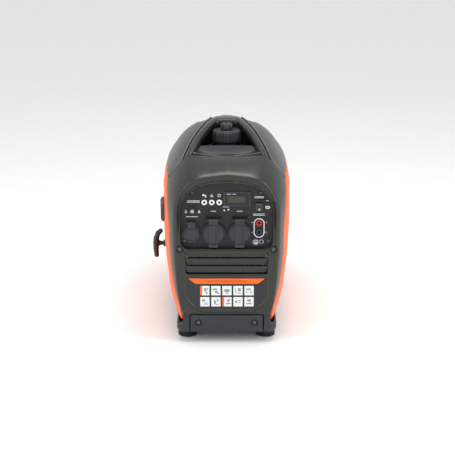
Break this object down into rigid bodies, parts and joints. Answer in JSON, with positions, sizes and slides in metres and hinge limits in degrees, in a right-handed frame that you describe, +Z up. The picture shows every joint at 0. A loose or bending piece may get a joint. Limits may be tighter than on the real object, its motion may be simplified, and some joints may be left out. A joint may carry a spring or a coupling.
{
  "type": "portable inverter generator",
  "caption": "Portable enclosed inverter generator with a top carry handle, fuel cap, front control panel with two lidded sockets, and recoil starter.",
  "frame": {"origin": "centre of the whole part's footprint, on the floor under the rubber feet", "axes": "+Z up, -Y towards the control panel, +X to the right of someone facing the panel"},
  "size_m": [0.3169, 0.5125, 0.455],
  "materials": {
    "shell": "fine grained moulding",
    "trim": "fine grained moulding, bluish dark grey",
    "side": "satin orange moulding",
    "panel": "near black textured panel",
    "lid": "charcoal moulding",
    "rubber": "matt rubber",
    "steel": "bare steel",
    "chrome": "polished",
    "casting": "cast aluminium",
    "label": "printed film",
    "jack": "red insulator",
    "winding": "enamelled copper wire",
    "rope": "braided starter rope",
    "ceramic": "glazed insulator",
    "oilcap": "moulded"
  },
  "bodies": {
    "root": {"base_tray": "trim", "rubber_feet": "rubber", "front_cover": "shell", "front_skirt": "trim", "rear_cover": "shell", "left_cover": "side", "right_cover": "side", "top_cover": "shell", "filler_deck": "trim", "carry_handle": "shell", "fuel_tank": "panel", "filler_neck": "lid", "control_panel": "panel", "panel_screws": "steel", "cover_screws": "steel", "meter": "lid", "indicator_lights": "label", "breaker_collar": "panel", "dc_socket": "panel", "socket_left": "panel", "socket_right": "panel", "rocker_frame": "panel", "terminal_ring": "chrome", "parallel_jacks": "jack", "ground_terminal": "chrome", "label_plate": "label", "dial_plate": "lid", "rope_guide": "lid", "starter_rope": "rope", "starter_housing": "lid", "engine_block": "casting", "cylinder_head": "casting", "spark_plug": "ceramic", "stator": "winding", "fan_shroud": "panel", "muffler": "steel", "exhaust_outlet": "steel", "carburettor": "steel", "air_filter": "panel", "inverter_module": "casting", "engine_mounts": "rubber", "front_louvers": "shell"},
    "cap_insert_body": {"cap_insert": "lid"},
    "fuel_cap_body": {"fuel_cap": "lid"},
    "vent_knob_body": {"vent_knob": "lid"},
    "breaker_body": {"breaker_button": "steel"},
    "dc_flap_body": {"dc_flap": "lid"},
    "flap_left_body": {"socket_flap_left": "lid"},
    "flap_right_body": {"socket_flap_right": "lid"},
    "rocker_body": {"rocker_switch": "lid"},
    "dial_body": {"engine_dial": "lid"},
    "grip_body": {"starter_grip": "rubber"},
    "pulley_body": {"starter_pulley": "lid"},
    "crank_body": {"crankshaft": "steel", "flywheel_fan": "steel"},
    "oil_cap_body": {"oil_filler_cap": "oilcap"}
  },
  "joints": [
    {"name": "fuel_cap_lift", "type": "slide", "parent": "root", "child": "cap_insert_body", "axis": [0, 0, 1], "range_m": [0, 0.05]},
    {"name": "fuel_cap_turn", "type": "hinge", "parent": "cap_insert_body", "child": "fuel_cap_body", "pos_m": [0.0135, -0.077, 0.413], "axis": [0, 0, 1], "range_deg": [0, 90]},
    {"name": "vent_knob_turn", "type": "hinge", "parent": "fuel_cap_body", "child": "vent_knob_body", "pos_m": [0.0135, -0.077, 0.438], "axis": [0, 0, 1], "range_deg": [0, 90]},
    {"name": "breaker_press", "type": "slide", "parent": "root", "child": "breaker_body", "axis": [0, 1, 0], "range_m": [0, 0.003], "stiffness_N_per_m": 300},
    {"name": "dc_flap_open", "type": "hinge", "parent": "root", "child": "dc_flap_body", "pos_m": [-0.0615, -0.2447, 0.2715], "axis": [-1, 0, 0], "range_deg": [0, 110]},
    {"name": "socket_flap_left_open", "type": "hinge", "parent": "root", "child": "flap_left_body", "pos_m": [-0.01425, -0.2485, 0.279], "axis": [-1, 0, 0], "range_deg": [0, 100], "stiffness_Nm_per_rad": 0.01},
    {"name": "socket_flap_right_open", "type": "hinge", "parent": "root", "child": "flap_right_body", "pos_m": [0.04125, -0.2485, 0.279], "axis": [-1, 0, 0], "range_deg": [0, 100], "stiffness_Nm_per_rad": 0.01},
    {"name": "rocker_tilt", "type": "hinge", "parent": "root", "child": "rocker_body", "pos_m": [0.0825, -0.236, 0.305], "axis": [-1, 0, 0], "range_deg": [0, 12]},
    {"name": "engine_dial_turn", "type": "hinge", "parent": "root", "child": "dial_body", "pos_m": [-0.1265, -0.125, 0.268], "axis": [-1, 0, 0], "range_deg": [0, 130]},
    {"name": "starter_pull", "type": "slide", "parent": "root", "child": "grip_body", "axis": [-1, 0, 0], "range_m": [0, 0.48]},
    {"name": "starter_pulley_spin", "type": "hinge", "parent": "root", "child": "pulley_body", "pos_m": [-0.1085, 0.015, 0.195], "axis": [-1, 0, 0], "range_deg": [0, 809]},
    {"name": "crank_spin", "type": "hinge", "parent": "root", "child": "crank_body", "pos_m": [0.0135, 0.015, 0.195], "axis": [1, 0, 0], "continuous": true},
    {"name": "oil_cap_turn", "type": "hinge", "parent": "root", "child": "oil_cap_body", "pos_m": [-0.0145, -0.033, 0.084], "axis": [0, -1, 0], "range_deg": [0, 360]}
  ],
  "couplings": [
    {"joint": "starter_pulley_spin", "follows": "starter_pull", "rad_per_m": 29.412}
  ]
}
